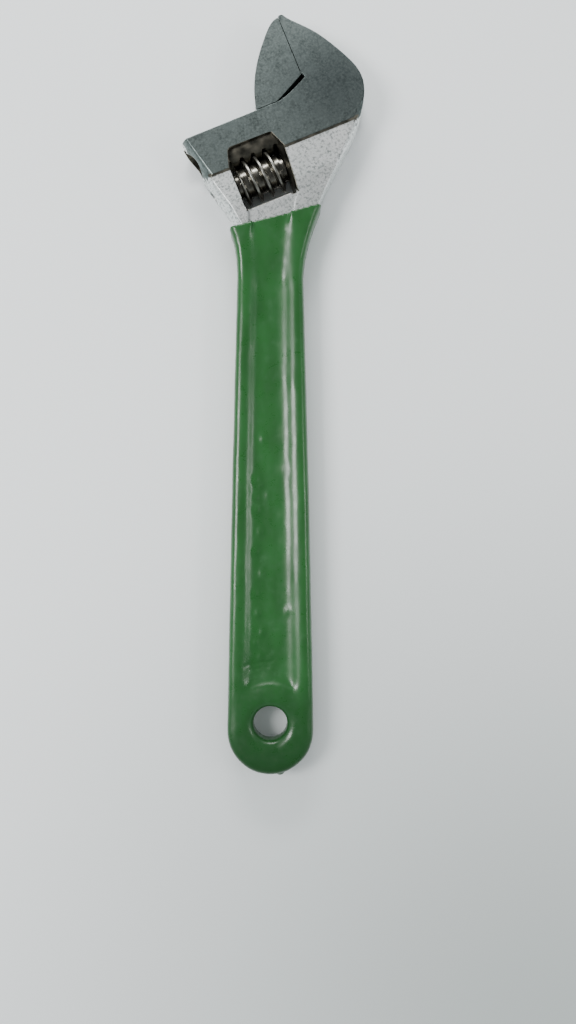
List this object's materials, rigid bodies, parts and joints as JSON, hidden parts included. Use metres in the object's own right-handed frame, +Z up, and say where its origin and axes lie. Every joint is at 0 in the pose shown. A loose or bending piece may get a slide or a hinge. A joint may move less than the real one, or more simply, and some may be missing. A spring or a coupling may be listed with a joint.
{
  "type": "adjustable wrench",
  "caption": "Adjustable wrench with an angled head, a sliding jaw driven by a worm, and a green dipped plastic handle with a hanging hole.",
  "frame": {"origin": "centre of the bounding box, on its underside, with the wrench lying flat and its jaws closed", "axes": "+Y up the handle towards the head, +X towards the side the mouth leans to, +Z up through the thickness"},
  "size_m": [0.0742, 0.3094, 0.0186],
  "materials": {
    "forged_steel": "satin chrome over a forged surface, ground on the head's faces",
    "ground_steel": "ground, dark satin",
    "worm_steel": "turned and polished, dark",
    "pin_steel": "plain turned",
    "spring_steel": "oil-blackened wire",
    "dipped_pvc": "glossy, slightly lumpy dip coat"
  },
  "bodies": {
    "frame": {"wrench_body": "forged_steel", "handle_grip": "dipped_pvc", "worm_pin": "pin_steel", "worm_spring": "spring_steel"},
    "jaw": {"movable_jaw": "ground_steel"},
    "worm": {"adjusting_worm": "worm_steel"}
  },
  "joints": [
    {"name": "worm_spin", "type": "hinge", "parent": "frame", "child": "worm", "pos_m": [-0.00487, 0.09066, 0.0093], "axis": [0.9272, 0.3746, 0], "range_deg": [0, 2497.9]},
    {"name": "jaw_slide", "type": "slide", "parent": "frame", "child": "jaw", "axis": [-0.9272, -0.3746, 0], "range_m": [0, 0.034]}
  ],
  "couplings": [
    {"joint": "jaw_slide", "follows": "worm_spin", "m_per_rad": 0.00077986}
  ]
}
